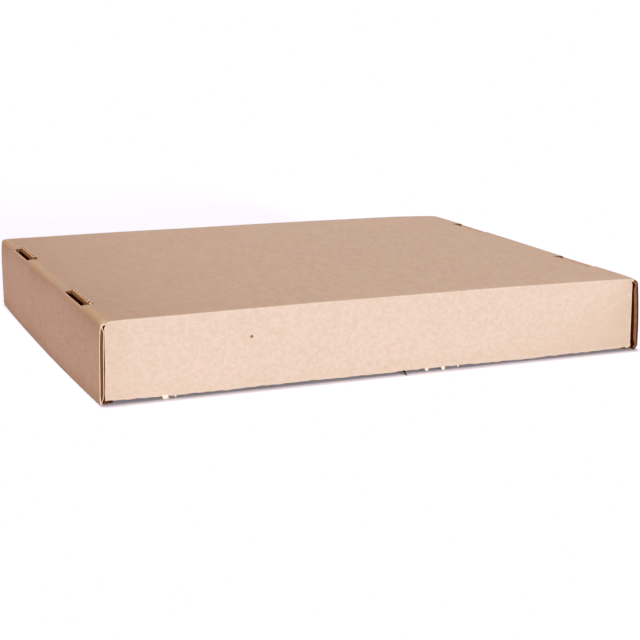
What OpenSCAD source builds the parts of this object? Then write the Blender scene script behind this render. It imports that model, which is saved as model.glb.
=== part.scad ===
// Corrugated shipping box: a shallow tray folded from one die-cut sheet of board.
// It lies as pictured, with its panel up and its open side down. X runs along its length,
// Y across its width and Z up. The origin is on the floor, under the middle of the tray.
// All sizes are in millimetres.

/* [Board] */
// thickness of the board
board = 2.9; // [2.6:0.1:3.2]
// thickness of each of the two outer papers
liner = 0.35; // [0.3:0.05:0.5]
// thickness of the waved paper between them
medium = 0.3; // [0.2:0.05:0.4]
// length of one wave of that paper
flute_pitch = 6.3; // [5.8:0.1:7.2]
// thickness of the board where a fold of an end wall presses it
pressed = 1.3; // [1.1:0.1:1.6]
// length over which the board swells again beside such a fold
press_run = 4; // [2.5:0.5:5.5]
// play between two layers of board that lie side by side
play = 0.3; // [0.2:0.05:0.5]

/* [Tray] */
// clear length between the two end walls
inside_length = 388; // [300:1:480]
// clear width between the two side walls
inside_width = 309; // [260:1:400]
// clear depth, from the panel to the rims of the end walls
inside_depth = 51.6; // [44:0.1:70]

/* [Side walls] */
// outside radius of the crisp folds of the side walls and their flaps
side_fold_r = 1.2; // [0.8:0.1:2]
// radius of the upper corners of a side wall
corner_r = 3; // [2:0.25:4]
// height of a side wall's cut edge above the floor
rim_lift = 2; // [1:0.1:3]
// extra height of that edge at the corners
corner_rise = 1; // [0.4:0.1:1.5]
// length over which the edge rises
rise_run = 26; // [15:1:40]
// length of each corner flap, held inside the end wall
flap_length = 42; // [30:1:48]
// height of a corner flap's lower edge above the floor
flap_lift = 5.5; // [5:0.1:8]
// size of the bevel on a corner flap's free end
flap_bevel = 8; // [4:0.5:15]

/* [End walls] */
// outside radius of the soft folds between the panel and the end walls
fold_r = 3; // [2.4:0.1:3.6]
// outward slope of an end wall just under its fold, in degrees
wall_flare = 6; // [4:0.25:7]
// outward slope of an end wall just above its foot, in degrees
wall_foot = 0.75; // [0.25:0.25:2]
// outside radius of the two creases where an end wall rolls over
crease_r = 2.5; // [2:0.1:3.2]
// set-back of an end wall's cut edges from the outside of the side walls
edge_set = 0.4; // [0.2:0.1:1]
// depth to which the cut edges stand open between their papers
edge_depth = 2.5; // [1.5:0.1:4]

/* [Locks] */
// length of a lock tab
tab_length = 46; // [36:1:56]
// distance of the lock tabs from the middle of the width
tab_offset = 83; // [72:1:92]
// height of a tab's tip above the panel
tab_proud = 0.8; // [0.3:0.1:1.5]
// radius at the corners of a tab's tip
tab_corner_r = 1.2; // [0.8:0.1:2]
// depth to which the flutes stand open in a tab's tip
flute_depth = 3.5; // [2:0.1:4]
// width of a slot, which reaches a little way over the fold
slot_width = 7.8; // [7:0.1:8.2]
// play at each end of a tab in its slot
slot_end_play = 0.8; // [0.5:0.1:1.5]

/* [Hidden] */
$fn = 96;
fold_steps = 14;
wall_steps = 24;
top_z = inside_depth + board;
half_width = inside_width / 2 + board;
half_inside = inside_length / 2;
fold_x = half_inside + 2 * board + play;
panel_under = top_z - board;
inner_top = panel_under - play;
end_width = 2 * (half_width - edge_set);
inner_width = inside_width - 2 * play;
// the end wall bows on one large arc that runs smoothly into its fold and its first crease
wall_drop = top_z - fold_r * (1 - sin(wall_flare)) - crease_r * (1 + sin(wall_foot));
wall_r = wall_drop / (sin(wall_flare) - sin(wall_foot));
wall_length = wall_r * (wall_flare - wall_foot) * PI / 180;
fold_centre = [fold_x, top_z - fold_r];
wall_centre = fold_centre - (wall_r - fold_r) * [cos(wall_flare), sin(wall_flare)];
crease_centre = wall_centre + (wall_r - crease_r) * [cos(wall_foot), sin(wall_foot)];
roll_centre = [half_inside + crease_r, crease_r];
slot_in_x = half_inside - play;
wave_height = board / 2 - liner - medium / 2;

// a stop on a section of the sheet: a place on its outer face, the way out and the thickness there
function stop(place, out, thickness) = [place, out, thickness];

// a stop on an arc
function arc_stop(centre, r, angle, thickness) =
    let (out = [cos(angle), sin(angle)])
        stop(centre + r * out, out, thickness);

// the stops round a pressed fold
function fold_stops(centre, r, from, to) = [
    for (i = [0 : fold_steps])
        arc_stop(centre, r, from + (to - from) * i / fold_steps, pressed)
];

// thickness of the board at a distance from a pressed fold
function swell(distance) = pressed + (board - pressed) * min(1, distance / press_run);

// a list from its end to its start
function reversed(list) = [for (i = [len(list) - 1 : -1 : 0]) list[i]];

// outline of the board along a row of stops
function board_outline(stops) = concat(
    [for (s = stops) s[0]],
    reversed([for (s = stops) s[0] - s[2] * s[1]])
);

// a point in the hollow of the board at a stop, from -1 at the inner paper to 1 at the outer paper
function hollow_point(s, share) =
    let (half = (board / 2 - liner) * (s[2] - pressed) / (board - pressed))
        s[0] + (share * half - s[2] / 2) * s[1];

fold_row = fold_stops(fold_centre, fold_r, 90, wall_flare);
crease_row = fold_stops(crease_centre, crease_r, wall_foot, -90);
roll_row = fold_stops(roll_centre, crease_r, 270, 180);

// the stops down an end wall, between its fold and its first crease
wall_row = [
    for (i = [1 : wall_steps - 1])
        let (
            angle = wall_flare + (wall_foot - wall_flare) * i / wall_steps,
            distance = wall_length * min(i, wall_steps - i) / wall_steps
        )
            arc_stop(wall_centre, wall_r, angle, swell(distance))
];

// a rectangle with four rounded corners
module rounded_rect(length, width, r) {
    square([length, width - 2 * r], center = true);
    square([length - 2 * r, width], center = true);
    for (sx = [-1, 1], sy = [-1, 1])
        translate([sx * (length / 2 - r), sy * (width / 2 - r)])
            circle(r);
}

// stretches a section drawn in X and Z across the tray
module across(width) {
    rotate([90, 0, 0])
        linear_extrude(width, center = true)
            children();
}

// raises a plate drawn in Y and Z, with its thickness towards +X
module plate_x(thickness) {
    rotate([90, 0, 90])
        linear_extrude(thickness)
            children();
}

// outline of a side wall, in X and Z
module side_outline() {
    corner_z = rim_lift + corner_rise;
    run_x = fold_x - rise_run;
    intersection() {
        polygon([
            [-fold_x, top_z],
            [-fold_x, corner_z],
            [-run_x, rim_lift],
            [run_x, rim_lift],
            [fold_x, corner_z],
            [fold_x, top_z]
        ]);
        rounded_rect(2 * fold_x, 2 * top_z, corner_r);
    }
}

// the open space along a side wall's cut edge, in X and Z
module side_edge_gap() {
    difference() {
        side_outline();
        translate([0, edge_depth])
            side_outline();
    }
}

// outline of a corner flap, in Y and Z, measured from the outside of its side wall
module flap_outline() {
    polygon([
        [0, flap_lift],
        [flap_length - flap_bevel, flap_lift],
        [flap_length, flap_lift + flap_bevel],
        [flap_length, inner_top - flap_bevel / 2],
        [flap_length - flap_bevel / 2, inner_top],
        [0, inner_top]
    ]);
}

// one side wall with its two corner flaps, at -Y
module side_wall() {
    translate([0, board / 2 - half_width, 0])
        difference() {
            across(board)
                side_outline();
            across(board - 2 * liner)
                side_edge_gap();
        }
    for (sx = [0, 1])
        mirror([sx, 0, 0])
            translate([fold_x - board, -half_width, 0])
                plate_x(board)
                    flap_outline();
}

// both side walls, with rounded folds between them and their flaps
module side_walls() {
    intersection() {
        union() {
            for (sy = [0, 1])
                mirror([0, sy, 0])
                    side_wall();
        }
        linear_extrude(top_z)
            rounded_rect(2 * fold_x, 2 * half_width, side_fold_r);
    }
}

// section of the panel and both outer end walls, in X and Z
module sheet_section() {
    panel_end = stop([fold_x - press_run, top_z], [0, 1], board);
    right = board_outline(concat([panel_end], fold_row, wall_row, crease_row));
    left = [for (p = reversed(right)) [-p.x, p.y]];
    polygon(concat(right, left));
}

// the open space between the papers along an end wall's cut edge, in X and Z
module wall_edge_gap() {
    polygon(concat(
        [hollow_point(fold_row[fold_steps], 0)],
        [for (s = wall_row) hollow_point(s, 1)],
        [hollow_point(crease_row[0], 0)],
        reversed([for (s = wall_row) hollow_point(s, -1)])
    ));
}

// the panel with its two outer end walls, whose cut edges are open
module panel_and_ends() {
    difference() {
        across(end_width)
            sheet_section();
        for (sx = [0, 1], sy = [-1, 1])
            mirror([sx, 0, 0])
                translate([0, sy * end_width / 2, 0])
                    across(2 * edge_depth)
                        wall_edge_gap();
    }
}

// the space under the rounded folds between the panel and the side walls
module side_fold_space() {
    reach = crease_centre.x + 2 * crease_r;
    translate([-reach, 0, 0])
        plate_x(2 * reach)
            rounded_rect(2 * half_width, 2 * top_z, side_fold_r);
}

// section of the spine, the second crease and the inner wall, in X and Z
module inner_section() {
    swollen = stop([half_inside, crease_r + press_run], [-1, 0], board);
    upper = stop([half_inside, inner_top], [-1, 0], board);
    polygon(board_outline(concat(crease_row, roll_row, [swollen, upper])));
}

// outline of a lock tab, in Y and Z
module tab_outline() {
    tip_z = top_z + tab_proud;
    intersection() {
        translate([-tab_length / 2, inner_top])
            square([tab_length, tip_z - inner_top]);
        rounded_rect(tab_length, 2 * tip_z, tab_corner_r);
    }
}

// one hollow between the waved paper and the outer paper that it leaves, along Y
module hollow() {
    reach = 0.4 * flute_pitch;
    wave = [
        for (i = [-4 : 4])
            let (y = reach * i / 4)
                [y, board / 2 + medium / 2 - wave_height * cos(360 * y / flute_pitch)]
    ];
    polygon(concat(wave, [[reach, board - liner], [-reach, board - liner]]));
}

// the hollows of a row of flutes, open by turns to one paper and to the other, along Y
module hollow_row(length) {
    step = flute_pitch / 2;
    count = floor((length - flute_pitch) / step) + 1;
    for (i = [0 : count - 1])
        translate([step * (i - (count - 1) / 2), 0])
            if (i % 2 == 0)
                hollow();
            else
                translate([0, board])
                    mirror([0, 1])
                        hollow();
}

// one lock tab, at +X, with its flutes open at the tip
module lock_tab() {
    translate([half_inside, 0, 0])
        difference() {
            plate_x(board)
                tab_outline();
            translate([0, 0, top_z + tab_proud - flute_depth])
                mirror([1, 0, 0])
                    rotate(90)
                        linear_extrude(2 * flute_depth)
                            hollow_row(tab_length);
        }
}

// the two slots of one end, at +X
module slots() {
    length = tab_length + 2 * slot_end_play;
    for (sy = [-1, 1])
        translate([slot_in_x, sy * tab_offset - length / 2, panel_under - play / 2])
            cube([slot_width, length, 2 * board]);
}

// the part of one end that rolls over and locks from inside, at +X
module inner_wall() {
    across(inner_width)
        inner_section();
    for (sy = [-1, 1])
        translate([0, sy * tab_offset, 0])
            lock_tab();
}

// the whole folded sheet
module tray() {
    color("#c8a586") {
        difference() {
            intersection() {
                union() {
                    panel_and_ends();
                    side_walls();
                }
                side_fold_space();
            }
            for (sx = [0, 1])
                mirror([sx, 0, 0])
                    slots();
        }
        for (sx = [0, 1])
            mirror([sx, 0, 0])
                inner_wall();
    }
}

tray();
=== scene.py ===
"""Dresses the folded tray as the three papers of a corrugated board, in kraft brown, on a pale floor."""

import math

import bmesh
import bpy
import numpy as np
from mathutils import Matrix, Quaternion, Vector


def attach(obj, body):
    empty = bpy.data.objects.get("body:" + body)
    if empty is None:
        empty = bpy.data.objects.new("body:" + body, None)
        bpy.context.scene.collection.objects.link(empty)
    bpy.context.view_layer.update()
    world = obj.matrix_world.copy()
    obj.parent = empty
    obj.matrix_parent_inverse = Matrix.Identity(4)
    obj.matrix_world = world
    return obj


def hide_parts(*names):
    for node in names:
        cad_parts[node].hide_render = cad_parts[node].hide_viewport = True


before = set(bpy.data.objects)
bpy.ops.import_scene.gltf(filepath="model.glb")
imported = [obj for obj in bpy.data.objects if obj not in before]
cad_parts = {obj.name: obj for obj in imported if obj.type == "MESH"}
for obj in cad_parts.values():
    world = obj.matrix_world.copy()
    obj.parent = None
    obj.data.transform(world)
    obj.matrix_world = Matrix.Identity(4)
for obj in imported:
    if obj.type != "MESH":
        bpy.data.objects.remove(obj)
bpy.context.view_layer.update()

# sizes of the sheet in millimetres, the same as in the part's source
BOARD = 2.9
LINER = 0.35
MEDIUM = 0.3
PITCH = 6.3
PRESSED = 1.3
PRESS_RUN = 4.0
PLAY = 0.3
HALF_INSIDE = 194.0
HALF_WIDTH = 157.4
TOP = 54.5
SIDE_FOLD_R = 1.2
RIM_LIFT = 2.0
CORNER_RISE = 1.0
RISE_RUN = 26.0
FLAP_LENGTH = 42.0
FLAP_LIFT = 5.5
ROLL_R = 2.5
EDGE_SET = 0.4
TAB_LENGTH = 46.0
TAB_OFFSET = 83.0
TAB_PROUD = 0.8
TAB_CORNER_R = 1.2
SLOT_END_PLAY = 0.8

# places worked out from those sizes
FOLD_X = HALF_INSIDE + 2 * BOARD + PLAY
UNDER = TOP - BOARD
INNER_TOP = UNDER - PLAY
END_HALF = HALF_WIDTH - EDGE_SET
INNER_HALF = HALF_WIDTH - BOARD - PLAY
PANEL_HALF = HALF_WIDTH - SIDE_FOLD_R
SLOT_IN = HALF_INSIDE - PLAY
SLOT_HALF = TAB_LENGTH / 2 + SLOT_END_PLAY
TIP = TOP + TAB_PROUD

# bends of the board, in millimetres
FLUTE_SHOW = 0.05
CROWN_FRONT = 1.3
CROWN_BACK = 0.7
BACK_RISE = 0.8
BACK_FADE = 40.0
DROOP_FRONT = 1.2
DROOP_BACK = 0.6
DROOP_RUN = 3.6
LIFT_FROM = 22.0
KICK_RUN = 5.0
BOW_MIDDLE = -20.0
BOW_HALF = 115.0
FLAP_FOLD_R = 0.5
INNER_FOLD_R = 0.3

# cut edges, wear and stains, in millimetres
TOOTH = 1.8
TOOTH_DEPTH = 0.6
TOOTH_ROOT = 0.25
TIP_SKIN = 0.85
TIP_SINK = 0.1
OPEN_DEPTH = 7.0
SLOT_DEPTH = 5.0
SLOT_END_DEPTH = 3.0
STAIN_RUN = 5.0
SCUFF_RUN = 0.9
SCUFF_PAST = 1.5
EDGE_WEAR_RUN = 2.5

# how worn the paper is, from 0 to 1
EDGE_WEAR = 0.35
# cut edges are lightened partly as wear and partly as a painted highlight along them
RIM_WEAR_AND_HIGHLIGHT = 0.6
TAB_WEAR = 0.7
# the slot's outboard edge and the fold beside it are lightened partly as scuffs and partly as a painted
# highlight
SLOT_WEAR_AND_HIGHLIGHT = 0.5
CREASE_WEAR = 0.4
TAG_WEAR = 0.8

# share by which the arch is higher towards the panel's right end
CROWN_SKEW = 0.15

# share that the way to an end's fold counts for, where the panel's edges are worn
END_WEAR_SHARE = 0.7

# how far the foot of a side wall spreads at its ends, and the height at which it stands plumb
SPLAY_RIGHT = 1.1
PLUMB_RIGHT = 40.0
SPLAY_LEFT = 0.5
PLUMB_LEFT = 25.0

# the front wall's darker tone: how far it runs at the right, at the foot and at the least, and at the left
WALL_STAIN_FOOT = 60.0
WALL_STAIN_LEAST = 8.0
WALL_STAIN_LEFT = 14.0
LEFT_STAIN_SHARE = 0.4

# the waved paper reaches this far in from a cut edge, and stops this far short of it
WAVE_REACH = 9.0
WAVE_SHORT = 0.25
WAVE_SHORT_SIDE = 0.3
WAVE_SHORT_TIP = 0.15
WAVE_SHORT_WALL = 0.35
SLOT_WAVE_REACH = 6.0

# ends of a side wall, which is rounded above its flaps
WALL_HALF = FOLD_X - FLAP_FOLD_R
WALL_ROUND = TOP - INNER_TOP

# spacing of the meshes, in millimetres: wide, close, least between two lines, and what counts as one place
WIDE_STEP = 9.0
CLOSE_STEP = 1.5
APART = 0.2
SAME = 0.05

# where the closely spaced lines begin and end, on the panel and on the side walls
PANEL_CLOSE = (181, 200)
WALL_CLOSE = (168, 199)

# least height of the end walls over the floor, in millimetres
FLOOR_GAP = 0.02

MM = 0.001
UP = np.array([0.0, 0.0, 1.0])

# kinds of surface, by their place in a piece's list of materials; waved paper is darkened partly as painted
# shade in its flutes, and the hollow and deep kinds are painted shade
KRAFT, CUT, WAVED_AND_SHADE, HOLLOW_SHADE, DEEP_SHADE = range(5)


class Paper:
    """A mesh in the making: grids of quads in millimetres, with wear and painted highlights, and place on
    the flat sheet.
    """

    def __init__(self):
        self.points = []
        self.wear_and_highlight = []
        self.stain = []
        self.sheet = []
        self.faces = []
        self.kinds = []
        self.count = 0

    def grid(self, points, outward, wear_and_highlight=0.0, keep=None, kind=KRAFT, sheet=None, stain=0.0):
        """Adds rows x columns points as quads that face the outward vectors; keep says which stay."""
        rows, columns = points.shape[:2]
        index = self.count + np.arange(rows * columns).reshape(rows, columns)
        corners = [index[:-1, :-1], index[1:, :-1], index[1:, 1:], index[:-1, 1:]]
        quads = np.stack(corners, axis=-1)
        across = points[1:, :-1] - points[:-1, :-1]
        along = points[:-1, 1:] - points[:-1, :-1]
        facing = np.sum(np.cross(across, along) * np.broadcast_to(outward, points.shape)[:-1, :-1])
        quads = quads if keep is None else quads[keep]
        quads = quads.reshape(-1, 4)
        if facing < 0:
            quads = quads[:, ::-1]
        self.points.append(points.reshape(-1, 3))
        self.wear_and_highlight.append(np.broadcast_to(wear_and_highlight, (rows, columns)).reshape(-1))
        self.stain.append(np.broadcast_to(stain, (rows, columns)).reshape(-1))
        self.sheet.append((points if sheet is None else sheet).reshape(-1, 3))
        self.faces.append(quads)
        self.kinds.append(np.full(len(quads), kind))
        self.count += rows * columns

    def rim(self, edge, through, into, depth=OPEN_DEPTH, width=LINER, kind=CUT):
        """Adds the cut edge of one paper along a row of points, and the paper's hidden face behind it,
        painted in shade.
        """
        through = np.broadcast_to(through, edge.shape)
        into = np.broadcast_to(into, edge.shape)
        hidden = edge + np.reshape(width, (-1, 1)) * through
        self.grid(np.stack([edge, hidden]), -into, wear_and_highlight=RIM_WEAR_AND_HIGHLIGHT, kind=kind)
        # the hidden face behind the cut edge takes the painted shade of the board's hollow
        self.grid(np.stack([hidden, hidden + depth * into]), through, kind=HOLLOW_SHADE)

    def mesh(self, name, materials):
        """The grids as a Blender mesh, in metres."""
        mesh = bpy.data.meshes.new(name)
        points = np.concatenate(self.points) * MM
        faces = np.concatenate(self.faces)
        mesh.from_pydata(points.tolist(), [], faces.tolist())
        for title, values in (("wear_and_highlight", self.wear_and_highlight), ("stain", self.stain)):
            layer = mesh.attributes.new(title, "FLOAT", "POINT")
            layer.data.foreach_set("value", np.concatenate(values).astype(np.float32))
        sheet = mesh.attributes.new("sheet", "FLOAT_VECTOR", "POINT")
        sheet.data.foreach_set("vector", (np.concatenate(self.sheet) * MM).astype(np.float32).reshape(-1))
        for material in materials:
            mesh.materials.append(material)
        mesh.polygons.foreach_set("material_index", np.concatenate(self.kinds).astype(np.int32))
        return mesh

    def build(self, name, materials, weld=0.01, crisp=40):
        """Makes the Blender object: meeting grids are welded, and edges over the crisp angle stay sharp."""
        mesh = self.mesh(name, materials)
        work = bmesh.new()
        work.from_mesh(mesh)
        bmesh.ops.remove_doubles(work, verts=work.verts, dist=weld * MM)
        loose = [v for v in work.verts if not v.link_faces]
        bmesh.ops.delete(work, geom=loose, context="VERTS")
        for face in work.faces:
            face.smooth = True
        for edge in work.edges:
            edge.smooth = len(edge.link_faces) == 2 and edge.calc_face_angle(0.0) < math.radians(crisp)
        work.to_mesh(mesh)
        work.free()
        piece = bpy.data.objects.new(name, mesh)
        bpy.context.collection.objects.link(piece)
        return piece


def lines(low, high, step, marks=()):
    """Evenly spaced values from low to high, with the marks among them."""
    even = np.linspace(low, high, max(2, round((high - low) / step) + 1))
    inside = [m for m in marks if low + SAME < m < high - SAME]
    clear = [x for x in even if all(abs(x - m) > APART for m in inside)]
    return np.array(sorted([*clear, *inside]))


def near_ends(start, stop):
    """Closely spaced places towards both ends of the tray."""
    return [place * side for place in np.arange(start, stop, CLOSE_STEP) for side in (-1, 1)]


def on_sheet(u, v):
    """A place on the flat sheet, as a vector."""
    u, v = np.broadcast_arrays(u, v)
    return np.stack([u, v, np.zeros_like(u)], axis=-1)


def eased(value):
    """A value held between 0 and 1, with soft ends."""
    share = np.clip(value, 0, 1)
    return share * share * (3 - 2 * share)


def bump(place, middle, run):
    """One at a place in the middle, fading to nothing over a run to either side."""
    return np.exp(-(((place - middle) / run) ** 2))


def sway(u, v):
    """The board's slow bends, by place on the flat sheet."""
    long_wave = 0.14 * np.sin(u / 63 + 0.7) * np.cos(v / 49 + 1.9)
    short_wave = 0.05 * np.sin(u / 21 + v / 37 + 2.3) + 0.04 * np.cos(u / 33 - v / 17)
    return long_wave + short_wave


def washboard(v, turn=0.0):
    """How far a paper sinks between the flute tips that carry it; turn shifts the tips."""
    return -FLUTE_SHOW * (0.5 - 0.5 * np.cos(2 * np.pi * v / PITCH + turn))


def crown(u, v):
    """The panel's low arch along its length, higher to the right; the back edge is lifted at its left."""
    back = np.clip((v + HALF_WIDTH) / (2 * HALF_WIDTH), 0, 1)
    height = CROWN_FRONT + (CROWN_BACK - CROWN_FRONT) * back
    arch = height * np.clip(1 - (u / FOLD_X) ** 2, 0, 1) * (1 + CROWN_SKEW * u / FOLD_X)
    return arch + BACK_RISE * back * np.clip((FOLD_X - u) / BACK_FADE, 0, 1)


def droop(u, v):
    """How far the panel sinks towards its four corners."""
    off = np.clip(FOLD_X - np.abs(u), 0, None) + np.clip(HALF_WIDTH - np.abs(v), 0, None)
    return np.where(v < 0, DROOP_FRONT, DROOP_BACK) * np.exp(-off / DROOP_RUN)


def upper_share(z):
    """One at the panel, nothing in the lower part of a wall."""
    return eased((z - LIFT_FROM) / (TOP - LIFT_FROM))


def swell(distance, board=BOARD, pressed=PRESSED):
    """The board's thickness at a distance from a pressed fold."""
    return pressed + (board - pressed) * eased(distance / PRESS_RUN)


def turned(first, last, radius, count=9):
    """A run round a fold: angles of the outward normal in degrees, and the steps between them."""
    return np.linspace(first, last, count + 1), np.full(count, radius * math.radians(first - last) / count)


def level(angle, length, count):
    """A flat run."""
    return np.full(count + 1, float(angle)), np.full(count, length / count)


def walk(start, angles, steps):
    """Points of a path that begins at a point and turns as its outward normal does."""
    middle = np.radians((angles[1:] + angles[:-1]) / 2)
    moves = np.stack([np.sin(middle), -np.cos(middle)], axis=-1) * steps[:, None]
    return np.array(start) + np.concatenate([[[0, 0]], np.cumsum(moves, axis=0)])


def leaning(top, low, flare, kick, foot, count=26):
    """A wall from a point down to a height; its lean goes from flare to foot, with a kick at the top."""
    # the steps grow towards the foot
    share = np.linspace(0, 1, count + 1) ** 1.4
    length = top[1] - low
    # each round mends the length by what the foot is still off
    for _ in range(6):
        lean = foot + (flare - foot) * (1 - share) + kick * np.exp(-share * length / KICK_RUN)
        wall = lean, np.diff(share) * length
        length += walk(top, *wall)[-1, 1] - low
    return wall


class Section:
    """A stretch of an end's path: points, outward normals, path length, thickness and fold tone."""

    def __init__(self, points, normals, travel, thick, tone):
        self.points = points
        self.normals = normals
        self.travel = travel
        self.thick = thick
        self.tone = tone


class End:
    """One end of the sheet, as a path over its outer face from the panel to the tips of the tabs."""

    def __init__(self, side, start, board, pinch, skins, inner_edge):
        """Where the fold starts, the board's thickness in the wall and at the fold, and its cut edges.

        The skins are the width and kind of each paper's share of the outer wall's cut edge.
        """
        self.side = side
        self.start = start
        self.board = board
        self.pinch = pinch
        self.skins = skins
        self.inner_edge = inner_edge

    def lock(self, slot_rows, lip, proud, pressed):
        """The slots' depth in the fold and their lip; how far a tab stands out and is pressed flat."""
        self.slot_rows = slot_rows
        self.lip = lip
        self.tip = TOP + proud
        self.pressed = pressed

    def tint(self, strength, run):
        """How strong the darker tone of the panel at this end is, and how far it runs."""
        self.stain = strength
        self.stain_run = run

    def shape(self, fold_r, kick, flare, foot, crease_r, bow):
        """The path: fold, lean of the wall below it and at its foot in degrees, crease, outward bow."""
        self.bow = bow
        fold = turned(90, flare + kick, fold_r)
        crease = turned(foot, -90, crease_r)
        top = walk((self.start, TOP), *fold)[-1]
        wall = leaning(top, crease_r * (1 + math.sin(math.radians(foot))), flare, kick, foot)
        foot_point = walk(top, *wall)[-1]
        spine = walk(foot_point, *crease)[-1, 0] - HALF_INSIDE - ROLL_R
        runs = [fold, wall, crease, level(-90, spine, 4), turned(-90, -180, ROLL_R)]
        runs += [level(-180, INNER_TOP - ROLL_R, 20), level(-180, TIP - INNER_TOP, 6)]
        self.cut_up(runs)

    def cut_up(self, runs):
        """Joins the runs to one path and splits it into outer wall, inner wall and tab."""
        angles = np.concatenate([runs[0][0], *[a[1:] for a, _ in runs[1:]]])
        steps = np.concatenate([s for _, s in runs])
        points = walk((self.start, TOP), angles, steps)
        turn = np.radians(angles)
        normals = np.stack([np.cos(turn), np.sin(turn)], axis=-1)
        travel = self.start + np.concatenate([[0], np.cumsum(steps)])
        last = np.cumsum([len(s) for _, s in runs])
        folds = [(0, last[0]), (last[1], last[2]), (last[3], last[4])]
        gaps = [np.maximum(np.maximum(travel[a] - travel, travel - travel[b]), 0) for a, b in folds]
        gap = np.min(gaps, axis=0)
        tone = np.exp(-gap / STAIN_RUN)

        def piece(a, b, board, pinch):
            part = slice(a, b + 1)
            thick = swell(gap[part], board, pinch)
            return Section(points[part], normals[part], travel[part], thick, tone[part])

        self.outer = piece(0, last[2], self.board, self.pinch)
        self.inner = piece(last[2], last[5], BOARD, PRESSED)
        self.tab = piece(last[5], last[6], BOARD, PRESSED)


# the left end is folded tightly
left_skins = ((0.42, CUT), (0.42, CUT))
# the spine's cut edges at the left end are painted dark, as shade under the front wall
left_end = End(side=-1, start=200.1, board=BOARD, pinch=PRESSED, skins=left_skins, inner_edge=HOLLOW_SHADE)
left_end.lock(slot_rows=5, lip=PRESSED, proud=TAB_PROUD, pressed=0.45)
left_end.tint(strength=1.0, run=90.0)
left_end.shape(fold_r=2.5, kick=10.2, flare=1.3, foot=1.0, crease_r=1.6, bow=1.3)

# the right end leans out more and its board stands thicker
# the right end's cut edges are painted dark, as shade in the gap beside the front wall
right_skins = ((1.5, HOLLOW_SHADE), (2.3, WAVED_AND_SHADE))
right_end = End(side=1, start=200.9, board=4.0, pinch=2.6, skins=right_skins, inner_edge=WAVED_AND_SHADE)
right_end.lock(slot_rows=5, lip=4.0, proud=-0.6, pressed=1.0)
right_end.tint(strength=0.3, run=5.0)
right_end.shape(fold_r=4.25, kick=0.7, flare=6.6, foot=0.75, crease_r=4.0, bow=0.0)

ENDS = [left_end, right_end]

slot_marks = [s * TAB_OFFSET + e * SLOT_HALF for s in (-1, 1) for e in (-1, 1)]
tab_marks = [s * TAB_OFFSET + e * TAB_LENGTH / 2 for s in (-1, 1) for e in (-1, 1)]


def bow(end, v, flat):
    """How far an outer wall stands out along its length, more towards its foot."""
    belly = end.bow * (1 - ((v - BOW_MIDDLE) / BOW_HALF) ** 2)
    outer = np.clip((flat[..., 0] - HALF_INSIDE - BOARD) / BOARD, 0, 1)
    return belly * outer * np.clip(1 - flat[..., 1] / TOP, 0, 1)


def on_end(end, section, v, depth, ripple=0.0):
    """Points of an end strip at a depth under the outer face, and its outward vectors."""
    rise = sway(end.side * section.travel[:, None], v[None]) + ripple - depth
    flat = section.points[:, None] + section.normals[:, None] * rise[..., None]
    x = flat[..., 0] + bow(end, v[None], flat)
    lift = crown(end.side * FOLD_X, v) - droop(FOLD_X, v)
    z = np.maximum(flat[..., 1] + lift[None] * upper_share(flat[..., 1]), FLOOR_GAP)
    y = np.broadcast_to(v[None], z.shape)
    points = np.stack([end.side * x, y, z], axis=-1)
    normals = np.broadcast_to(section.normals[:, None], flat.shape)
    outward = np.stack([end.side * normals[..., 0], np.zeros_like(y), normals[..., 1]], axis=-1)
    return points, outward


def patches(v):
    """Strength of the golden patches on the folds of an end, along them."""
    small = 0.5 * np.sin(v / 9.3) * np.sin(v / 4.1 + 1)
    broad = 0.4 * np.sin(v / 23 + 0.6)
    return np.clip(0.4 + small + broad, 0, 1)


def slot_rim_scuff_and_highlight(end, section, v):
    """Light scuffs and a painted highlight on the fold beside the slots."""
    start = section.travel[min(end.slot_rows, len(section.travel) - 1)]
    near = np.exp(-np.abs(section.travel - start) / SCUFF_RUN)
    along = np.clip(SLOT_HALF + SCUFF_PAST - np.abs(np.abs(v) - TAB_OFFSET), 0, 1)
    return near[:, None] * along[None] * (section is end.outer)


def skin_width(end, layer, thick):
    """Width of one paper's share of an end's cut edge; the shares meet where the board is pressed."""
    full = end.skins[layer][0]
    least = thick.min()
    swollen = (thick - least) / (thick.max() - least)
    closed = least * full / sum(width for width, _ in end.skins)
    return closed + (full - closed) * swollen


def end_strip(paper, end, layer, turn, step):
    """One paper's share of one end; layer is 0 for the outer paper and 1 for the inner one."""
    sign = 1 - 2 * layer
    for section, half, marks in ((end.outer, END_HALF, slot_marks), (end.inner, INNER_HALF, tab_marks)):
        v = lines(-half, half, step, [*marks, -PANEL_HALF, PANEL_HALF])
        ripple = sign * washboard(v, turn)[None]
        points, outward = on_end(end, section, v, layer * section.thick[:, None], ripple)
        place = on_sheet(end.side * section.travel[:, None], v[None])
        keep = np.ones((len(points) - 1, len(v) - 1), bool)
        if section is end.outer:
            keep[: end.slot_rows, in_slot(v)] = False
        wear_and_highlight = slot_rim_scuff_and_highlight(end, section, v)
        stain = end.stain * section.tone[:, None] * (1 + patches(v))[None]
        # the inner paper of an end, inside the double end wall, is painted in deep shade
        paper.grid(points, sign * outward, wear_and_highlight, keep, DEEP_SHADE if layer else KRAFT, place, stain)
        skin = skin_width(end, layer, section.thick)
        kind = end.inner_edge if section is end.inner else end.skins[layer][1]
        for column, way in ((0, 1), (-1, -1)):
            paper.rim(points[:, column], -sign * outward[:, column], (0, way, 0), width=skin, kind=kind)
    for middle in (-TAB_OFFSET, TAB_OFFSET):
        tab(paper, end, layer, turn, middle, step)


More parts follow.
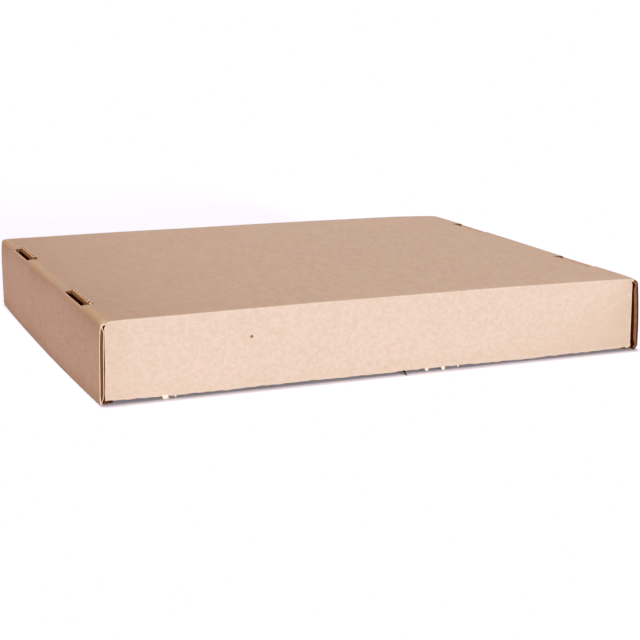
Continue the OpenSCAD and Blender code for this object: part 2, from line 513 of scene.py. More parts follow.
def tab_tip(end, v, middle):
    """Height of a tab's tip, rounded at its corners and slightly ragged."""
    over = np.clip(np.abs(v - middle) - (TAB_LENGTH / 2 - TAB_CORNER_R), 0, TAB_CORNER_R)
    corner = TAB_CORNER_R - np.sqrt(np.maximum(TAB_CORNER_R**2 - over**2, 0))
    ragged = 0.06 * np.sin(v * 2.1) + 0.04 * np.sin(v * 5.3)
    return end.tip + crown(end.side * FOLD_X, middle) - corner + ragged


def to_tip(points, end, v, middle, short=0.0):
    """Stretches a tab's points to its tip or short of it; returns how far up the tab each one is."""
    share = (points[..., 2] - INNER_TOP) / (TIP - INNER_TOP)
    points[..., 2] = INNER_TOP + share * (tab_tip(end, v, middle)[None] - short - INNER_TOP)
    return share


def tab(paper, end, layer, turn, middle, step):
    """One paper of one lock tab; its foot inside is painted in shade, and the corners of its tip are
    painted dark as well.
    """
    sign = 1 - 2 * layer
    v = lines(middle - TAB_LENGTH / 2, middle + TAB_LENGTH / 2, step / 2, [middle])
    points, outward = on_end(end, end.tab, v, layer * BOARD, sign * washboard(v, turn)[None])
    share = to_tip(points, end, v, middle)
    place = on_sheet(end.side * end.tab.travel[:, None], v[None])
    wear_and_highlight = np.clip(share * 2 - 1, 0, 1) * TAB_WEAR
    # the foot of the inner paper is painted in deep shade
    for part, kind in ((slice(0, 2), HOLLOW_SHADE if layer else KRAFT), (slice(1, None), KRAFT)):
        paper.grid(points[part], sign * outward[part], wear_and_highlight[part], kind=kind, sheet=place[part])
    # the tip's two corners and the tab's side edges take the waved paper's darker colour, partly painted
    # shade
    for part, kind in ((slice(0, 4), WAVED_AND_SHADE), (slice(3, -3), CUT), (slice(-4, None), WAVED_AND_SHADE)):
        paper.rim(points[-1, part], -sign * outward[-1, part], (0, 0, -1), width=TIP_SKIN, kind=kind)
    for column, way in ((0, 1), (-1, -1)):
        paper.rim(points[:, column], -sign * outward[:, column], (0, way, 0), SLOT_END_DEPTH, kind=WAVED_AND_SHADE)
    if not layer:
        pressed_tip(paper, end, points[-1], outward[-1], v)


def pressed_tip(paper, end, edge, outward, v):
    """The parts of a tab's tip that are pressed flat, a share of each flute."""
    near = edge - TIP_SKIN * outward - TIP_SINK * UP
    far = edge - (BOARD - TIP_SKIN) * outward - TIP_SINK * UP
    flat = ((v[1:] + v[:-1]) / 2 / PITCH) % 1.0 < end.pressed
    paper.grid(np.stack([near, far]), UP, RIM_WEAR_AND_HIGHLIGHT, flat[None], kind=CUT)


def slot_edge(paper, end, middle):
    """The pressed cut edge of a slot along the fold, and at the slot's two ends."""
    v = lines(middle - SLOT_HALF, middle + SLOT_HALF, 1.0)
    upper, _ = on_end(end, end.outer, v, 0.0)
    lower, _ = on_end(end, end.outer, v, end.lip)
    row = end.slot_rows
    paper.grid(np.stack([upper[row], lower[row]]), np.array([-end.side, 0.0, 0.5]), SLOT_WEAR_AND_HIGHLIGHT, kind=CUT)
    for column, way in ((0, 1.0), (-1, -1.0)):
        side = np.stack([upper[: row + 1, column], lower[: row + 1, column]])
        # the slot's two end edges take the waved paper's darker colour, partly painted shade
        paper.grid(side, np.array([0.0, way, 0.0]), kind=WAVED_AND_SHADE)


def in_slot(v):
    """True for each gap between neighbouring values that lies in a slot."""
    middle = (v[1:] + v[:-1]) / 2
    return np.abs(np.abs(middle) - TAB_OFFSET) < SLOT_HALF


def panel_height(u, v, layer, turn):
    """Height of one paper of the panel."""
    start = np.where(u < 0, ENDS[0].start, ENDS[1].start)
    depth = layer * swell(start - np.abs(u))
    ripple = (1 - 2 * layer) * washboard(v, turn)
    return TOP - depth + sway(u, v) + crown(u, v) - droop(u, v) + ripple


def panel_stain(u, v):
    """The panel's darker tone towards its ends, with golden patches along their folds."""
    stain = np.zeros_like(u)
    for end in ENDS:
        from_fold = end.start - end.side * u
        broad = np.exp(-from_fold / end.stain_run)
        stain += end.stain * (broad + patches(v) * np.exp(-from_fold / STAIN_RUN))
    return stain


def panel(paper, layer, turn, step):
    """One paper of the flat panel, with its slots cut out."""
    sign = 1 - 2 * layer
    half = HALF_WIDTH - BOARD if layer else END_HALF
    corner = WALL_HALF - WALL_ROUND
    marks = [*near_ends(*PANEL_CLOSE), -SLOT_IN, SLOT_IN, -corner, corner]
    u = lines(-ENDS[0].start, ENDS[1].start, WIDE_STEP, marks)
    v = lines(-half, half, step, [*slot_marks, -PANEL_HALF, PANEL_HALF])
    across, along = np.meshgrid(u, v, indexing="ij")
    points = np.stack([across, along, panel_height(across, along, layer, turn)], axis=-1)
    middle_u = np.abs(u[1:] + u[:-1])[:, None] / 2
    middle_v = np.abs(v[1:] + v[:-1])[None] / 2
    cut = (middle_u > SLOT_IN) & in_slot(v)[None]
    cut = cut | ((middle_v > PANEL_HALF) & (middle_u < corner))
    from_edge = np.minimum(HALF_WIDTH - np.abs(along), (FOLD_X - np.abs(across)) * END_WEAR_SHARE)
    wear_and_highlight = EDGE_WEAR * np.exp(-from_edge / EDGE_WEAR_RUN)
    stain = panel_stain(across, along)
    paper.grid(points, sign * UP, wear_and_highlight, ~cut, KRAFT, on_sheet(across, along), stain)
    for end in ENDS:
        slot_rims(paper, points, u, v, end, sign)
        if not layer:
            for at in (0, -1):
                edge = points[u * end.side > corner - SAME, at]
                paper.grid(np.stack([edge, edge - PRESSED * UP]), np.sign(v[at]) * np.eye(3)[1], kind=CUT)


def slot_rims(paper, points, u, v, end, sign):
    """The cut edges of one paper of the panel round the two slots of one end."""
    beside = u * end.side > SLOT_IN - SAME
    half_board = swell(end.start - np.abs(u[beside])) / 2
    for place in (-TAB_OFFSET, TAB_OFFSET):
        column = np.abs(v - place) < SLOT_HALF + SAME
        row = points[np.argmin(np.abs(u - end.side * SLOT_IN)), column]
        paper.rim(row, -sign * UP, (-end.side, 0, 0), SLOT_DEPTH)
        for way in (-1, 1):
            at = np.argmin(np.abs(v - (place + way * SLOT_HALF)))
            # the cut edges at the slot's two ends take the waved paper's darker colour, partly painted
            # shade
            paper.rim(points[beside, at], -sign * UP, (0, way, 0), SLOT_END_DEPTH, half_board, WAVED_AND_SHADE)


# faults of the side walls, by place along them and height in millimetres: the edges are torn in two places,
# the front one hangs lower in one stretch, and a crease slants across the front wall near its right end
SAG = 0.45
SAG_PLACE = 112.0
SAG_RUN = 32.0
TORN = 1.2
TORN_PLACES = (138.0, 162.0)
TORN_RUN = 4.0
CREASE_START = np.array([198.0, 42.5])
CREASE_STOP = np.array([167.0, 26.5])
CREASE_RUN = 1.4
CREASE_DEPTH = 0.22
CREASE_LENGTH = 36.0
CREASE_FADE_IN = 4.0
CREASE_FADE_OUT = 14.0

# a shallow dent in each side wall: depth, height, reach each way, and place in the front and back wall
DENT = 0.15
DENT_HEIGHT = 26.0
DENT_SIZE = (28.0, 13.0)
DENT_FRONT = -40.0
DENT_BACK = 60.0


def rim_height(u, end, layer=0):
    """Height of a side wall's ragged edge: it rises to the corners, wanders and has fine teeth."""
    seed = 1.3 + 2.9 * layer + 2 * end
    rise = CORNER_RISE * np.clip((np.abs(u) - (FOLD_X - RISE_RUN)) / RISE_RUN, 0, 1)
    wander = 0.14 * np.sin(u / 17 + seed) + 0.12 * np.sin(u / 6.1 + 2 * seed)
    wander = wander + 0.1 * np.sin(u / 2.7 + 3 * seed)
    sag = SAG * bump(u, SAG_PLACE, SAG_RUN) * (end < 0)
    torn = 1 + TORN * sum(bump(u, place, TORN_RUN) for place in TORN_PLACES)
    phase = (u / TOOTH + 0.12 * np.sin(u / 9 + seed)) % 1.0
    uneven = 0.7 + 0.5 * np.sin(u / 1.49 + seed)
    teeth = TOOTH_DEPTH * torn * uneven * (1 - np.abs(2 * phase - 1))
    return RIM_LIFT + TOOTH_ROOT + rise + wander - sag - teeth


def slant(u, z, end):
    """Share of the slanting crease near the front wall's right end, which fades towards its lower end."""
    way = (CREASE_STOP - CREASE_START) / np.linalg.norm(CREASE_STOP - CREASE_START)
    along = (u - CREASE_START[0]) * way[0] + (z - CREASE_START[1]) * way[1]
    off = (u - CREASE_START[0]) * -way[1] + (z - CREASE_START[1]) * way[0]
    fade = np.clip(along / CREASE_FADE_IN + 1, 0, 1)
    fade = fade * np.clip((CREASE_LENGTH - along) / CREASE_FADE_OUT, 0, 1)
    return bump(off, 0.0, CREASE_RUN) * fade * (end < 0)


def dents(u, z, end):
    """Small faults of a side wall: the slanting crease and a shallow dent."""
    place = DENT_FRONT if end < 0 else DENT_BACK
    dent = DENT * bump(u, place, DENT_SIZE[0]) * bump(z, DENT_HEIGHT, DENT_SIZE[1])
    return -dent - CREASE_DEPTH * slant(u, z, end)


def splay(u, z):
    """How far a side wall spreads towards its two ends, more at the foot than at the panel."""
    right = SPLAY_RIGHT * (1 - z / PLUMB_RIGHT) * np.clip(u / FOLD_X, 0, None) ** 4
    left = SPLAY_LEFT * np.clip(1 - z / PLUMB_LEFT, 0, 1) * np.clip(-u / FOLD_X, 0, None) ** 4
    return right - left


def wall_place(u, z, end, layer, turn):
    """A place on one paper of a side wall, and its place on the flat sheet."""
    v = PANEL_HALF + np.pi / 2 * SIDE_FOLD_R + TOP - SIDE_FOLD_R - z
    ripple = (1 - 2 * layer) * washboard(v, turn)
    y = HALF_WIDTH - layer * BOARD + sway(u, end * v) + ripple + dents(u, z, end)
    lift = crown(u, end * PANEL_HALF) * z / TOP - droop(u, HALF_WIDTH) * upper_share(z)
    return np.stack([u + splay(u, z), end * y, z + lift], axis=-1), on_sheet(u, end * v)


def wall_stain(u, z, end):
    """The darker tone of the front wall towards its two ends, at the right more so at the foot."""
    run = np.clip(WALL_STAIN_FOOT * (1 - z / TOP), WALL_STAIN_LEAST, None)
    right = np.exp(-np.clip(WALL_HALF - u, 0, None) / run)
    left = LEFT_STAIN_SHARE * np.exp(-np.clip(WALL_HALF + u, 0, None) / WALL_STAIN_LEFT)
    return (right + left) * (end < 0)


def wall_half(z):
    """Half the length of a side wall at a height."""
    over = np.clip(z - INNER_TOP, 0, WALL_ROUND)
    return WALL_HALF - WALL_ROUND + np.sqrt(WALL_ROUND**2 - over**2)


def side_wall(paper, end, layer, turn, step):
    """One paper of one side wall with its flaps; end is -1 for the front and 1 for the back."""
    out = np.array([0.0, end * (1 - 2 * layer), 0.0])
    fold_r = INNER_FOLD_R if layer else FLAP_FOLD_R
    u = lines(-WALL_HALF, WALL_HALF, WIDE_STEP, near_ends(*WALL_CLOSE))
    z = lines(FLAP_LIFT, UNDER if layer else TOP - SIDE_FOLD_R, step, [INNER_TOP])[::-1]
    half = np.full(len(z), FOLD_X - BOARD - fold_r) if layer else wall_half(z)
    across = u[:, None] * half[None] / WALL_HALF
    points, place = wall_place(across, z[None], end, layer, turn)
    scuff = CREASE_WEAR * slant(across, z[None], end)
    paper.grid(points, out, scuff, sheet=place, stain=wall_stain(across, z[None], end))
    held = z < INNER_TOP + SAME
    for side, row in ((-1, 0), (1, -1)):
        flap(paper, side, end, layer, fold_r, points[row, held])
    ragged_edge(paper, end, layer, turn, out)
    if not layer:
        side_fold(paper, end, u, turn)


def ragged_edge(paper, end, layer, turn, out):
    """The strip of one paper of a side wall below its flaps, down to the ragged, curled cut edge."""
    reach = FOLD_X - BOARD if layer else FOLD_X
    u = lines(-reach, reach, TOOTH / 4)
    share = np.array([0.0, 0.35, 0.65, 0.85, 1.0])[None]
    wear_and_highlight = np.array([0.0, 0.1, 0.3, 0.6, 1.0])[None]
    curl = np.array([0.0, 0.0, 0.0, 0.05, 0.2])[None]
    z = FLAP_LIFT * (1 - share) + rim_height(u, end, layer)[:, None] * share
    points, place = wall_place(u[:, None], z, end, layer, turn)
    points[..., 1] -= out[1] * curl
    paper.grid(points, out, wear_and_highlight, sheet=place, stain=wall_stain(u[:, None], z, end))
    paper.rim(points[:, -1], -out, (0, 0, 1))
    for row, way in ((0, 1), (-1, -1)):
        paper.rim(points[row], -out, (way, 0, 0))


def side_fold(paper, end, u, turn):
    """The crisp fold between the panel and one side wall."""
    angles = np.radians(np.linspace(90, 0, 7))
    flat_y = PANEL_HALF + SIDE_FOLD_R * np.cos(angles)
    flat_z = TOP - SIDE_FOLD_R + SIDE_FOLD_R * np.sin(angles)
    v = PANEL_HALF + SIDE_FOLD_R * (np.pi / 2 - angles)
    across = u[:, None] * wall_half(flat_z)[None] / WALL_HALF
    along = np.broadcast_to(v[None], across.shape)
    rise = sway(across, end * along) + washboard(along, turn)
    y = flat_y[None] + np.cos(angles)[None] * (rise + dents(across, flat_z[None], end))
    z = flat_z[None] + np.sin(angles)[None] * rise
    lift = crown(across, end * PANEL_HALF) * z / TOP - droop(across, along) * upper_share(z)
    points = np.stack([across + splay(across, z) * np.cos(angles)[None], end * y, z + lift], axis=-1)
    outward = np.stack([0 * angles, end * np.cos(angles), np.sin(angles)], axis=-1)
    # lighter along the fold's crest, partly wear and partly a painted highlight
    wear_and_highlight = np.sin(2 * angles)[None] * (0.5 + 0.2 * np.sin(across / 11))
    place = on_sheet(across, end * along)
    paper.grid(points, outward[None], wear_and_highlight, sheet=place, stain=wall_stain(across, z, end))


def flap(paper, side, end, layer, radius, edge):
    """One paper of a corner flap, folded in from the edge of a side wall and held in an end wall."""
    sign = 1 - 2 * layer
    face = FOLD_X - layer * BOARD
    front = -HALF_WIDTH + layer * BOARD
    angles = np.radians(np.linspace(-90, 0, 6))
    free = np.linspace(front + radius, -HALF_WIDTH + FLAP_LENGTH, 9)[1:]
    x = side * np.concatenate([face - radius + radius * np.cos(angles), np.full(len(free), face)])
    y = -end * np.concatenate([front + radius + radius * np.sin(angles), free])
    normal_x = np.concatenate([np.cos(angles), np.ones(len(free))])
    normal_y = np.concatenate([np.sin(angles), np.zeros(len(free))])
    outward = np.stack([side * normal_x, -end * normal_y, 0 * x], axis=-1)
    fade = np.concatenate([np.ones(len(angles)), np.linspace(1, 0, len(free))])
    shift = (edge - np.array([x[0], y[0], 0.0]))[None] * [1, 1, 0] * fade[:, None, None]
    grid = np.stack(np.broadcast_arrays(x[:, None], y[:, None], edge[None, :, 2]), axis=-1) + shift
    bend = len(angles)
    paper.grid(grid[:bend], sign * outward[:bend, None])
    # the free part of a flap lies inside the double end wall and is painted in deep shade; its upper and
    # lower cut edges are painted shade too
    paper.grid(grid[bend - 1 :], sign * outward[bend - 1 :, None], kind=DEEP_SHADE)
    paper.rim(grid[-1], -sign * outward[-1], (0, end, 0))
    for row, way in ((0, -1), (-1, 1)):
        paper.rim(grid[:, row], -sign * outward, (0, 0, way), kind=HOLLOW_SHADE)


def wave_depth(thick, v):
    """Depth of the waved paper under the board's outer face, across the flutes."""
    hollow = (BOARD / 2 - LINER) * (thick - PRESSED) / (BOARD - PRESSED)
    return thick / 2 + np.clip(hollow - MEDIUM / 2, 0, None) * np.cos(2 * np.pi * v / PITCH)


def waved_end(paper, end, way):
    """The waved paper at one edge of an end's two walls, in one tab and at one slot; way is -1 or 1."""
    for section, half in ((end.outer, END_HALF), (end.inner, INNER_HALF)):
        v = way * lines(half - WAVE_REACH, half - WAVE_SHORT, 0.6)
        depth = wave_depth(section.thick[:, None], v[None])
        paper.grid(*on_end(end, section, v, depth), kind=WAVED_AND_SHADE)
    tab_half = TAB_LENGTH / 2 - WAVE_SHORT_SIDE
    v = lines(-tab_half, tab_half, 0.5) + way * TAB_OFFSET
    points, outward = on_end(end, end.tab, v, wave_depth(BOARD, v)[None])
    to_tip(points, end, v, way * TAB_OFFSET, WAVE_SHORT_TIP)
    paper.grid(points, outward, kind=WAVED_AND_SHADE)
    v = lines(-SLOT_HALF, SLOT_HALF, 0.5) + way * TAB_OFFSET
    u = end.side * np.array([SLOT_IN - SLOT_WAVE_REACH, SLOT_IN - WAVE_SHORT_TIP])
    across, along = np.meshgrid(u, v, indexing="ij")
    z = TOP + sway(across, along) + crown(across, along) - wave_depth(BOARD, along)
    paper.grid(np.stack([across, along, z], axis=-1), UP, kind=WAVED_AND_SHADE)


def waved_wall(paper, end):
    """The waved paper at the cut edge of one side wall."""
    u = lines(-WALL_HALF, WALL_HALF, 3.0)
    height = np.linspace(WAVE_SHORT_WALL, WAVE_REACH, 16)
    z = rim_height(u, end)[:, None] + height[None]
    across = np.broadcast_to(u[:, None], z.shape)
    v = np.broadcast_to(TOP - height[None], z.shape)
    y = end * (HALF_WIDTH - wave_depth(BOARD, v + 1.1) + sway(across, end * (PANEL_HALF + v)))
    points = np.stack([across + splay(across, z), y, z], axis=-1)
    paper.grid(points, np.array([0.0, end, 0.0]), kind=WAVED_AND_SHADE)


# torn tags on the front wall's cut edge: place along the wall, width, length, outward lean, taper
TAGS = [
    (-160.9, 4.1, 2.0, 0.35, 0.1),
    (-154.0, 1.2, 0.8, 0.15, 0.7),
    (29.4, 2.7, 1.3, 0.30, 0.3),
    (42.4, 3.0, 1.6, 0.35, 0.25),
    (54.4, 1.5, 1.0, 0.20, 0.5),
]
CORNER_TAG = (198.0, 4.5, 0.9, 0.20, 0.5)
# a dark sliver hanging from the edge is painted shadow: a scrap in a shade colour where there is only shade
SHADOW_SLIVER = (11.8, 2.2, 2.2, 2.60, 0.9)

# how far a tag reaches up on the wall, and its least height over the floor
TAG_ROOT = 0.6
TAG_CLEAR = 0.25


def tag(paper, place, width, length, lean, taper, kind):
    """A small flag of torn paper that hangs from the front wall's cut edge."""
    t = np.linspace(0, 1, 7)[:, None]
    s = np.linspace(-0.5, 0.5, 6)[None]
    ragged = 0.1 * np.sin(9 * s + place) + 0.06 * np.sin(23 * s + 2 * place)
    x = place + width * s * (1 - taper * t) + 0.12 * np.sin(6 * t + place)
    top = rim_height(np.array([place]), -1) + TAG_ROOT
    z = np.maximum(top - (length + TAG_ROOT) * t * (1 + ragged), TAG_CLEAR)
    y = -HALF_WIDTH - 0.05 - lean * length * t**2 - 0.1 * np.sin(3 * s + place) * t
    points = np.stack(np.broadcast_arrays(x, y, z), axis=-1)
    paper.grid(points, np.array([0.0, -1.0, 0.0]), TAG_WEAR * (kind == CUT), kind=kind)


class Nodes:
    """Short hand for making and joining shader nodes in one material."""

    def __init__(self, name):
        self.material = bpy.data.materials.new(name)
        self.material.use_nodes = True
        self.tree = self.material.node_tree
        self.shader = self.tree.nodes["Principled BSDF"]

    def add(self, kind, settings=None, **inputs):
        """A new node; keyword values set or link its inputs by name, with _ for a blank."""
        node = self.tree.nodes.new(kind)
        for key, value in (settings or {}).items():
            setattr(node, key, value)
        for key, value in inputs.items():
            self.join(value, node.inputs[key.replace("_", " ")])
        return node

    def join(self, value, socket):
        """Sets a socket to a value, or links another node's first output to it."""
        if isinstance(value, bpy.types.Node):
            self.tree.links.new(value.outputs[0], socket)
        elif isinstance(value, bpy.types.NodeSocket):
            self.tree.links.new(value, socket)
        else:
            socket.default_value = value

    def attribute(self, name, output):
        """A value stored at the mesh's points."""
        return self.add("ShaderNodeAttribute", {"attribute_name": name}).outputs[output]

    def noise(self, size, detail=3.0, roughness=0.55, place=None):
        """Noise with a size in cycles per metre each way, by place in space unless another is given."""
        place = place or self.add("ShaderNodeTexCoord").outputs["Object"]
        scaled = self.add("ShaderNodeMapping", Vector=place, Scale=size)
        return self.add("ShaderNodeTexNoise", Vector=scaled, Scale=1.0, Detail=detail, Roughness=roughness)

    def ramp(self, value, low, high, start=0.0, end=1.0):
        """A value moved from the range low to high on to the range start to end."""
        return self.add(
            "ShaderNodeMapRange", Value=value, From_Min=low, From_Max=high, To_Min=start, To_Max=end
        )

    def math(self, operation, a, b=0.0):
        """One arithmetic step."""
        node = self.add("ShaderNodeMath", {"operation": operation})
        self.join(a, node.inputs[0])
        self.join(b, node.inputs[1])
        return node

    def mix(self, share, a, b):
        """Two colours mixed."""
        node = self.add("ShaderNodeMix", {"data_type": "RGBA"})
        self.join(share, node.inputs["Factor"])
        self.join(a, node.inputs["A"])
        self.join(b, node.inputs["B"])
        return node.outputs["Result"]


def rgb(red, green, blue):
    """A colour given as sRGB from 0 to 255, in linear light."""
    share = np.array([red, green, blue]) / 255
    linear = np.where(share <= 0.04045, share / 12.92, ((share + 0.055) / 1.055) ** 2.4)
    return (*linear.tolist(), 1.0)


def tinted(colour, share):
    """A share of an sRGB colour, or shares of its red, green and blue, in linear light."""
    return rgb(*np.multiply(colour, share))


# a small reddish fleck in the front wall: place and the radii it fades between, in metres, and colour
FLECK = (-0.1012, -0.1574, 0.0366)
FLECK_FADE = (0.0008, 0.0015)
FLECK_RAGGED = 0.0004
FLECK_COLOUR = (92, 44, 34)

# darker tone towards the ends and golden tone of the folds, as shares of the paper's colour
END_TONE_SHARE = (0.905, 0.883, 0.855)
GOLDEN = (0.925, 0.9, 0.79)


def fibres(n, base, light, dark, along, grain):
    """Plain kraft paper: cloudy colour, mottle, fibres along and across the sheet, grain and specks."""
    sheet = n.attribute("sheet", "Vector")
    clouds = n.noise((30, 30, 30), 4.0)
    mottle = n.noise((330, 110, 330), 3.0, 0.6)
    across = n.noise((2600, 420, 2600), 2.0, 0.6, sheet)
    specks = n.noise((1300, 1300, 1300), 1.0, 0.4)
    colour = n.mix(n.ramp(clouds, 0.3, 0.7), tinted(base, 0.985), tinted(base, 1.015))
    colour = n.mix(n.ramp(mottle, 0.3, 0.55, 0.36, 0.0), colour, rgb(*dark))
    colour = n.mix(n.ramp(mottle, 0.45, 0.7, 0.0, 0.44), colour, rgb(*light))
    colour = n.mix(n.ramp(along, 0.4, 0.7, 0.0, 0.6), colour, rgb(*light))
    colour = n.mix(n.ramp(across, 0.55, 0.8, 0.0, 0.35), colour, rgb(*dark))
    colour = n.mix(n.ramp(grain, 0.35, 0.7, 0.0, 0.18), colour, rgb(*dark))
    return n.mix(n.ramp(specks, 0.72, 0.78, 0.0, 0.4), colour, tinted(dark, 0.7))


def weathered(n, colour, base, light):
    """The colour with its darker tones and golden patches, and its scuffs and painted highlights, as strong
    as the mesh says.
    """
    stain = n.attribute("stain", "Fac")
    soft = n.ramp(n.noise((90, 90, 90)), 0.3, 0.65, 0.75, 1.1)
    colour = n.mix(n.math("MULTIPLY", stain, soft), colour, tinted(base, END_TONE_SHARE))
    colour = n.mix(n.math("MULTIPLY", n.ramp(stain, 1.0, 1.8), soft), colour, tinted(base, GOLDEN))
    patchy = n.ramp(n.noise((260, 260, 260)), 0.3, 0.65, 0.2, 0.8)
    # lighter where the mesh says: wear, and in places painted highlights
    return n.mix(n.math("MULTIPLY", n.attribute("wear_and_highlight", "Fac"), patchy), colour, tinted(light, 1.06))


def flecked(n, colour, grain):
    """The colour with the reddish fleck in it."""
    away = n.add("ShaderNodeVectorMath", {"operation": "DISTANCE"})
    n.join(n.add("ShaderNodeTexCoord").outputs["Object"], away.inputs[0])
    away.inputs[1].default_value = FLECK
    ragged = n.ramp(grain, 0.2, 0.8, -FLECK_RAGGED, FLECK_RAGGED)
    radius = n.math("ADD", away.outputs["Value"], ragged)
    return n.mix(n.ramp(radius, *FLECK_FADE, 0.95, 0.0), colour, rgb(*FLECK_COLOUR))


def paper_material(name, base, light, dark, gloss=0.25, fleck=False):
    """Kraft paper in three tones, with fibres, wear and a fine tooth."""
    n = Nodes(name)
    grain = n.noise((900, 300, 900), 3.0, 0.7)
    along = n.noise((160, 2200, 2200), 2.0, 0.6, n.attribute("sheet", "Vector"))
    colour = weathered(n, fibres(n, base, light, dark, along, grain), base, light)
    if fleck:
        colour = flecked(n, colour, grain)
    n.join(colour, n.shader.inputs["Base Color"])
    n.join(n.ramp(grain, 0.3, 0.7, 0.82, 0.95), n.shader.inputs["Roughness"])
    n.shader.inputs["Specular IOR Level"].default_value = gloss
    height = n.math("ADD", n.math("MULTIPLY", along, 0.6), n.math("MULTIPLY", grain, 0.4))
    tooth = n.add("ShaderNodeBump", Strength=0.12, Distance=0.0004, Height=height)
    n.join(tooth, n.shader.inputs["Normal"])
    return n.material


# the photograph's view: place in metres, azimuth, elevation and roll in degrees, and angle of view
CAMERA_PLACE = (-0.41798, -0.98697, 0.25697)
CAMERA_TURN = (-23.779, 13.241, 0.808)
CAMERA_VIEW = 25.909


def towards(azimuth, elevation):
    """The direction to a place seen at an azimuth and an elevation, in radians."""
    flat = math.cos(elevation)
    return Vector((math.sin(azimuth) * flat, -math.cos(azimuth) * flat, math.sin(elevation)))


def aim(thing, back):
    """Adds a camera or lamp to the scene, turned to look away from a direction."""
    thing.rotation_mode = "QUATERNION"
    thing.rotation_quaternion = (-back).to_track_quat("-Z", "Y")
    bpy.context.collection.objects.link(thing)


def place_camera():
    """Sets up the photograph's view."""
    azimuth, elevation, roll = (math.radians(a) for a in CAMERA_TURN)
    data = bpy.data.cameras.new("camera")
    data.sensor_fit = "HORIZONTAL"
    data.angle = math.radians(CAMERA_VIEW)
    data.clip_start = 0.01
    data.clip_end = 2000
    camera = bpy.data.objects.new("camera", data)
    camera.location = CAMERA_PLACE
    aim(camera, towards(azimuth, elevation))
    camera.rotation_quaternion = camera.rotation_quaternion @ Quaternion((0, 0, 1), roll)
    bpy.context.scene.camera = camera


# far, soft lamps: name, azimuth and elevation in degrees, strength, spread in degrees, colour
LAMPS = [
    ("key", -1, 4, 8.13, 8, (1.0, 1.0, 1.0)),
    ("top", 180, 84, 4.29, 8, (1.0, 1.0, 1.0)),
    ("fill", -95, 15, 1.03, 14, (1.0, 0.505, 0.0)),
]
SURROUND = (0.9, 0.9, 1.05, 1.0)
SURROUND_STRENGTH = 0.23
LAMP_AWAY = 3

# half the floor's length in metres, and the two tones of its paint
FLOOR_HALF = 600.0
FLOOR_TONES = ((243, 240, 252), (246, 243, 254))

# the picture's tone curve: brightness of a surface and what is shown, and the brightness at the curve's end
SHOULDER = [(0.25, 0.25), (0.4, 0.392), (0.62, 0.565), (0.8, 0.665), (1.25, 0.863), (1.48, 1.0)]
WHITEST = 1.7


def sun(name, azimuth, elevation, strength, spread, colour):
    """A far, soft lamp that shines from an azimuth and an elevation."""
    data = bpy.data.lights.new(name, "SUN")
    data.energy = strength
    data.angle = math.radians(spread)
    data.color = colour
    lamp = bpy.data.objects.new(name, data)
    back = towards(math.radians(azimuth), math.radians(elevation))
    lamp.location = back * LAMP_AWAY
    aim(lamp, back)


def tone():
    """Plain colours with soft highlights, as in the photograph."""
    settings = bpy.context.scene.view_settings
    settings.view_transform = "Standard"
    settings.use_curve_mapping = True
    mapping = settings.curve_mapping
    mapping.white_level = (WHITEST, WHITEST, WHITEST)
    for bright, shown in SHOULDER:
        point = mapping.curves[3].points.new(bright / WHITEST, shown)
        point.handle_type = "VECTOR"
    mapping.update()


def lay_floor():
    """A wide, plain, pale floor."""
    mesh = bpy.data.meshes.new("floor")
    corners = [(-1, -1), (1, -1), (1, 1), (-1, 1)]
    mesh.from_pydata([(x * FLOOR_HALF, y * FLOOR_HALF, 0) for x, y in corners], [], [(0, 1, 2, 3)])
    n = Nodes("floor_paint")
    low, high = (rgb(*paint) for paint in FLOOR_TONES)
    n.join(n.mix(n.ramp(n.noise((3, 3, 3)), 0.3, 0.7), low, high), n.shader.inputs["Base Color"])
    n.shader.inputs["Roughness"].default_value = 0.9
    mesh.materials.append(n.material)
    floor = bpy.data.objects.new("floor", mesh)
    bpy.context.collection.objects.link(floor)


def studio():
    """Pale floor, dim surround, lamps from the front and from above, and a warm one from the left."""
    lay_floor()
    world = bpy.data.worlds.new("surround")
    world.use_nodes = True
    background = world.node_tree.nodes["Background"]
    background.inputs["Color"].default_value = SURROUND
    background.inputs["Strength"].default_value = SURROUND_STRENGTH
    bpy.context.scene.world = world
    for lamp in LAMPS:
        sun(*lamp)
    tone()


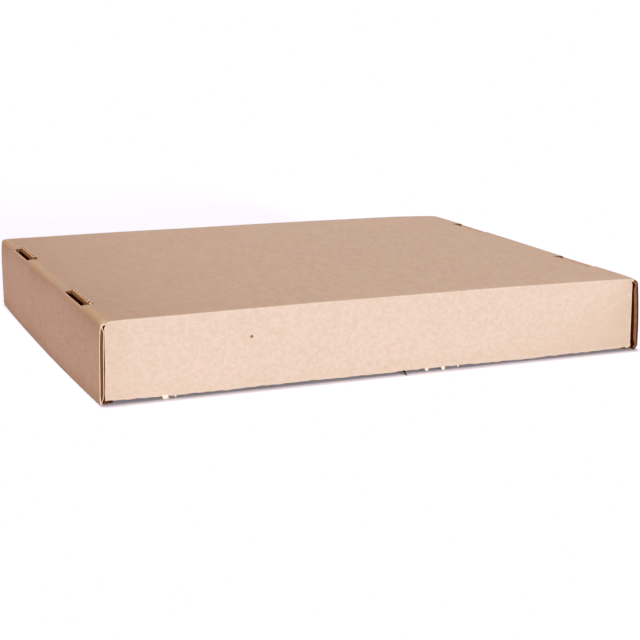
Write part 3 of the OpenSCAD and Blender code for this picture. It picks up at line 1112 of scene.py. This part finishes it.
def fold_papers():
    """The outer and inner paper of the whole sheet, the waved paper between them, the torn tags and a dark
    sliver of painted shadow.
    """
    outer, under, medium, torn = Paper(), Paper(), Paper(), Paper()
    for paper, layer, turn, step in ((outer, 0, 0.0, PITCH / 6), (under, 1, math.pi, PITCH / 4)):
        panel(paper, layer, turn, step)
        for end in ENDS:
            end_strip(paper, end, layer, turn, step)
        for end in (-1, 1):
            side_wall(paper, end, layer, turn, step)
    for end in ENDS:
        for way in (-1, 1):
            slot_edge(outer, end, way * TAB_OFFSET)
            waved_end(medium, end, way)
    for end in (-1, 1):
        waved_wall(medium, end)
    for values in TAGS:
        tag(torn, *values, CUT)
    tag(torn, *CORNER_TAG, KRAFT)
    # the dark sliver is painted shadow
    tag(torn, *SHADOW_SLIVER, HOLLOW_SHADE)
    return outer, under, medium, torn


def dress():
    """Makes the papers and hands them to the frame."""
    outside = paper_material("kraft_outside", (158, 128, 110), (171, 142, 123), (138, 107, 88), fleck=True)
    inside = paper_material("kraft_inside", (160, 122, 78), (174, 138, 96), (122, 86, 54))
    cut = paper_material("cut_paper", (164, 127, 104), (178, 142, 118), (140, 104, 80))
    scrap = paper_material("torn_paper", (180, 152, 130), (198, 174, 154), (152, 122, 100))
    # the waved paper is darkened partly as painted shade in its flutes; the hollow and deep papers are
    # painted shade, not paper colours
    wave_and_shade = paper_material("waved_paper_and_shade", (77, 51, 34), (90, 62, 44), (58, 37, 24), gloss=0.0)
    hollow = paper_material("hollow_painted_shade", (48, 23, 14), (56, 29, 19), (38, 17, 10), gloss=0.0)
    deep_shade = paper_material("deep_painted_shade", (98, 36, 12), (108, 46, 19), (82, 27, 8), gloss=0.0)
    outer, under, medium, torn = fold_papers()
    made = [
        outer.build("outer_liner", [outside, cut, wave_and_shade, hollow, deep_shade]),
        under.build("inner_liner", [inside, cut, wave_and_shade, hollow, deep_shade]),
        medium.build("waved_medium", [wave_and_shade, cut, wave_and_shade, hollow, deep_shade]),
        torn.build("torn_tags", [outside, scrap, wave_and_shade, hollow, deep_shade]),
    ]
    for piece, thickness in ((made[2], MEDIUM), (made[3], LINER)):
        skin = piece.modifiers.new("thickness", "SOLIDIFY")
        skin.thickness = thickness * MM
        skin.offset = 0.0
    for piece in made:
        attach(piece, "root")
    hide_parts("tray")


place_camera()
studio()
dress()
